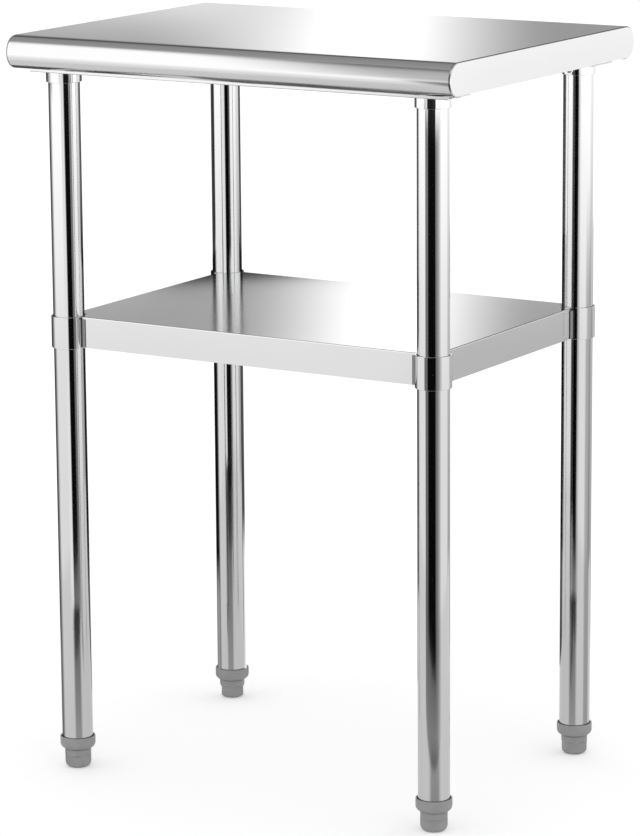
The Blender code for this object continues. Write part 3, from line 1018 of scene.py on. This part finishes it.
def add_floor():
    """A wide pale floor, which glows a little to the camera and to reflections."""
    material, nodes, links = new_material("studio_floor")
    shader = nodes["Principled BSDF"]
    shader.inputs["Base Color"].default_value = FLOOR_TONE
    shader.inputs["Roughness"].default_value = FLOOR_ROUGHNESS
    shader.inputs["Specular IOR Level"].default_value = 0
    shader.inputs["Emission Color"].default_value = (1, 1, 1, 1)
    rays = nodes.new("ShaderNodeLightPath")
    total = None
    for kind, level in FLOOR_GLOW.items():
        term = nodes.new("ShaderNodeMath")
        term.operation = "MULTIPLY_ADD"
        term.inputs[1].default_value = level
        term.inputs[2].default_value = 0
        links.new(rays.outputs[kind], term.inputs[0])
        if total:
            links.new(total, term.inputs[2])
        total = term.outputs["Value"]
    links.new(total, shader.inputs["Emission Strength"])
    bm = bmesh.new()
    bmesh.ops.create_circle(bm, cap_ends=True, segments=FLOOR_STEPS, radius=FLOOR_RADIUS)
    mesh = mesh_of("floor", bm)
    mesh.materials.append(material)
    floor = new_object("floor", mesh)
    # The floor stays under the lowest foot when feet are screwed out
    for corner in CORNERS:
        under = floor.constraints.new("FLOOR")
        under.target = frame["bodies"][f"barrel_{corner}"]
        under.floor_location = "FLOOR_NEGATIVE_Z"


def add_world():
    """An even white all round."""
    world = bpy.data.worlds.new("studio")
    world.use_nodes = True
    background = world.node_tree.nodes["Background"]
    background.inputs["Color"].default_value = (1, 1, 1, 1)
    background.inputs["Strength"].default_value = 1
    bpy.context.scene.world = world


def add_camera():
    """A long lens from the front right, a little above the worktop."""
    yaw, pitch, roll = radians(CAMERA_YAW), radians(CAMERA_PITCH), radians(CAMERA_ROLL)
    ahead = Vector((-sin(yaw) * cos(pitch), cos(yaw) * cos(pitch), -sin(pitch)))
    right = Vector((cos(yaw), sin(yaw), 0))
    up = right.cross(ahead)
    turned_right = right * cos(roll) + up * sin(roll)
    turned_up = up * cos(roll) - right * sin(roll)
    axes = Matrix((turned_right, turned_up, -ahead)).transposed()
    data = bpy.data.cameras.new("camera")
    data.sensor_width = CAMERA_SENSOR
    data.lens = CAMERA_LENS
    camera = new_object("camera", data)
    camera.matrix_world = Matrix.Translation(CAMERA_PLACE) @ axes.to_4x4()
    bpy.context.scene.camera = camera


def add_surroundings():
    """A light wall all round, brighter towards its top and higher at the front left."""
    full = (0, 360)
    add_arc("wall_low", WALL_RADIUS, full, (0, 0.32), (1.10, 1.16))
    add_arc("wall_middle", WALL_RADIUS, full, (0.32, 0.72), (1.16, 1.70))
    add_arc("wall_right", WALL_RADIUS, (-60, 90), (0.72, 0.95), (1.70, 1.70), fades=(0, 0, 0, 0.2))
    tall = (0.72, 2.60)
    add_arc("wall_left", WALL_RADIUS, (205, 262), tall, (1.60, 1.60), fades=(0.25, 0.1, 0, 0.4))

    dim, low_band, soft = (0.3, 0.3), (0, 0.95), (0.4, 0.4, 0, 0.1)
    add_arc("shade_right", WALL_SHADE_RADIUS, (28, 86), low_band, dim, (0.75, 0.12), soft)
    add_arc("shade_left", WALL_SHADE_RADIUS, (140, 198), low_band, dim, (0.6, 0.6), soft)


def add_veils():
    """Dark veils before the table, which make the dark bands of the tubes and of the roll."""
    left, right = (-0.05, -0.687), (0.734, -0.202)
    join, top = 0.15, 0.83
    add_wall("veil_near", left, right, (0, join), BLACK, (0.60, 0.82), (0.13, 0.37, 0, 0))
    add_wall("veil_near_high", left, right, (join, top), BLACK, (0.82, 0.80), (0.13, 0.37, 0, 0.08))
    left, right = (0.115, -1.042), (0.693, -0.608)
    add_wall("veil_core", left, right, (0, 1.5), BLACK, (0.98, 0.98), (0.08, 0.06, 0.03, 0.1))
    left, right = (-0.05, -0.35), (0.40, -0.35)
    fades = (0.7, 0, 0.1, 0.1)
    add_wall("roll_flag", left, right, (0.85, 1.35), BLACK, (0.45, 0.85), fades, lean=-0.35)


def add_flags():
    """Dark flags behind the table, clear of what the shelf and the worktop reflect."""
    left, right = (-0.80, -0.05), (-0.80, 0.60)
    add_wall("flag_left", left, right, (0, 0.90), BLACK, (0.9, 0.9), (0.1, 0.1, 0, 0.05))
    left, right = (-0.361, 0.088), (0.297, 0.839)
    add_wall("flag_low", left, right, (0, 0.60), BLACK, (0.89, 0.89), (0.1, 0.1, 0, 0.03))


def add_foot_shades():
    """Shades beside the lower legs: their angles, top, densities and fades."""
    wide = (0.25, 0.3, 0, 0.1)
    shades = {
        "front_left": ((284, 344), 0.20, (0.45, 0.86), wide),
        "rear_left": ((268, 322), 0.32, (0.45, 0.95), wide),
        "rear_right": ((252, 314), 0.20, (0.42, 0.85), wide),
        "front_right": ((262, 350), 0.10, (0.60, 0.40), (0.3, 0.3, 0, 0.4)),
    }
    for corner, (turn, top, densities, fades) in shades.items():
        place = (f"foot_shade_{corner}", corner, turn, FOOT_SHADE_RADIUS, (0, top))
        add_shade(*place, densities, fades)


def add_close_shades():
    """Strips of darkness and light on each leg, where its sides differ from the rest.

    Each has its angles round the leg, its heights, density, fades and level of light.
    """
    high = 0.90
    strips = {
        "front_left": {
            "right": ((2, 70), (0.22, high), 0.9, (0.17, 0, 0.15, 0), 0),
            "left": ((185, 254), (0, high), 0.75, (0, 0.26, 0, 0), 0),
            "glow": ((290, 304), (0.18, high), 1, (0.1, 0.35, 0.1, 0), 1.2),
        },
        "rear_left": {
            "right": ((-2, 68), (0.48, high), 0.93, (0.19, 0, 0.1, 0), 0),
            "left": ((239, 255), (0.58, high), 0.8, (0.3, 0.3, 0.2, 0), 0),
            "glow": ((288, 301), (0.52, high), 1, (0.1, 0.35, 0.1, 0), 1.2),
            "core": ((304, 323), (0.58, high), 0.85, (0.15, 0.35, 0.1, 0), 0),
            "foot_glow": ((-2, 68), (0, 0.26), 1, (0.19, 0, 0, 0.3), 1.25),
            "foot_side": ((223, 253), (0, 0.20), 0.5, (0, 0.35, 0, 0.3), 0.8),
        },
        "front_right": {
            "left": ((185, 224), (0.24, high), 0.8, (0, 0.35, 0.1, 0), 0),
        },
        "rear_right": {
            "left": ((185, 231), (0.22, high), 0.88, (0, 0.15, 0.1, 0), 0),
            "core": ((273, 292), (0.28, high), 0.85, (0.5, 0.2, 0.1, 0), 0),
            "right": ((327, 365), (0, 0.75), 0.45, (0.3, 0.3, 0, 0.3), 0),
        },
    }
    for corner, parts in strips.items():
        for part, (turn, heights, density, fades, level) in parts.items():
            add_close_shade(f"{part}_{corner}", corner, turn, heights, density, fades, level)


def add_back():
    """Behind the table: a grey wall, a soft strip of light before it and darkness above."""
    bottom, join, top = 0.74, 1.03, 1.85
    light = (1.70, 1.70)
    add_back_card("back_wall", 0, -2, 2, (bottom, 1.90), (0.42, 0.38), (0.1, 0.1, 0, 0.4))
    add_back_card("strip_low", -BACK_STEP, -0.25, 0.27, (bottom, join), light, (0.58, 0.48, 0, 0))
    add_back_card("strip_high", -BACK_STEP, -0.42, 0.31, (join, top), light, (0.64, 0.52, 0, 0.6))
    add_wall("glow_low", (-1.05, 0.50), (-0.20, 0.50), (0.915, 1.02), (1, 1), fades=(0.1, 0.4, 0, 0.6))
    add_back_card("back_dark", BACK_STEP, -3, 3, (1.30, 3.8), (0.08, 0.20), (0.05, 0.05, 0, 0.2))


def add_ceiling():
    """A grey ceiling, darker towards the back."""
    rows = [[(x, y, CEILING_HEIGHT) for x in (-2.4, 1.6)] for y in (-0.9, 2.3)]
    add_card("ceiling", rows, (0.45, 0.30), fades=(0.1, 0.1, 0.1, 0.1))


add_world()
add_floor()
add_camera()
add_surroundings()
add_veils()
add_flags()
add_foot_shades()
add_close_shades()
add_back()
add_ceiling()

scene = bpy.context.scene
scene.view_settings.view_transform = "Standard"
